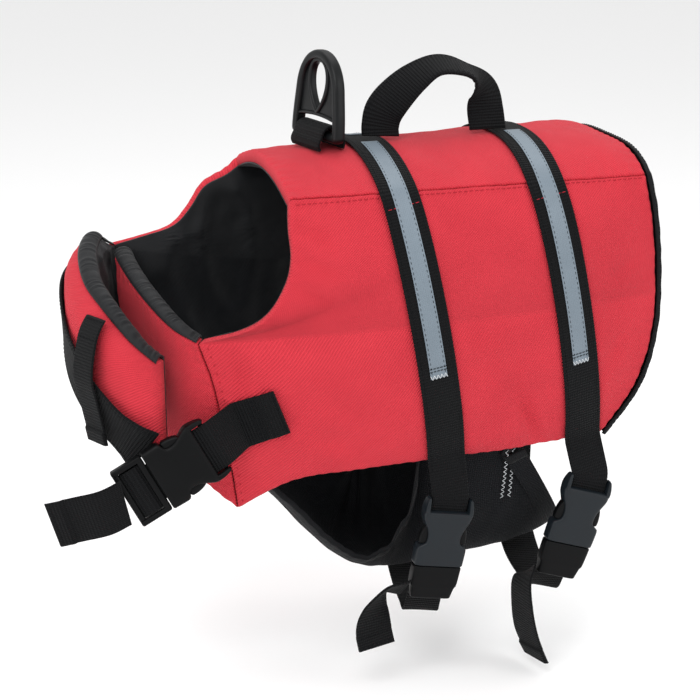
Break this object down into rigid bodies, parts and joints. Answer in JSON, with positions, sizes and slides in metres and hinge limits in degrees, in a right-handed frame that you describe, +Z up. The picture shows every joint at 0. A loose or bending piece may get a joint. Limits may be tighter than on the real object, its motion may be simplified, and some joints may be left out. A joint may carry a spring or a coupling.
{
  "type": "dog life jacket",
  "caption": "Padded buoyancy jacket for a small dog, hollow as worn, with buckled girth straps, a lapped chest, a belly panel, a grab handle and a tilting leash ring.",
  "frame": {"origin": "where the wearer's back bears, on the underside of the back pad's middle", "axes": "+X to the tail, +Y to the wearer's right, +Z up"},
  "size_m": [0.4061, 0.1738, 0.4095],
  "materials": {
    "shell": "red twill Oxford cloth over foam",
    "lining": "black nylon",
    "binding": "black edge tape",
    "mesh": "black mesh cloth",
    "webbing": "black ribbed webbing",
    "tape": "reflective tape",
    "plastic": "dark slate moulded plastic"
  },
  "bodies": {
    "jacket": {"back_pad": "shell", "lining_back": "lining", "side_pad_near": "shell", "lining_near": "lining", "side_pad_far": "shell", "lining_far": "lining", "chest_flap_inner": "shell", "lining_flap_inner": "lining", "rim_flap_inner": "lining", "chest_flap_outer": "shell", "lining_flap_outer": "lining", "rim_flap_outer": "lining", "rear_binding": "binding", "belly_panel": "mesh", "girth_strap_front": "webbing", "tape_front_near": "tape", "tape_front_far": "tape", "belly_strap_front": "webbing", "tail_front": "webbing", "buckle_front_socket": "plastic", "buckle_front_plug": "plastic", "girth_strap_rear": "webbing", "tape_rear_near": "tape", "tape_rear_far": "tape", "belly_strap_rear": "webbing", "tail_rear": "webbing", "buckle_rear_socket": "plastic", "buckle_rear_plug": "plastic", "buckle_chest_socket": "plastic", "buckle_chest_plug": "plastic", "chest_strap": "webbing", "tail_chest": "webbing", "chest_stub": "webbing", "keeper_tab": "webbing", "ring_loop": "webbing", "handle": "webbing"},
    "ring": {"leash_ring": "plastic"}
  },
  "joints": [
    {"name": "leash_ring_tilt", "type": "hinge", "parent": "jacket", "child": "ring", "pos_m": [-0.077, 0, 0.02849], "axis": [-0.225, 0.9744, 0], "range_deg": [-75, 12]}
  ]
}
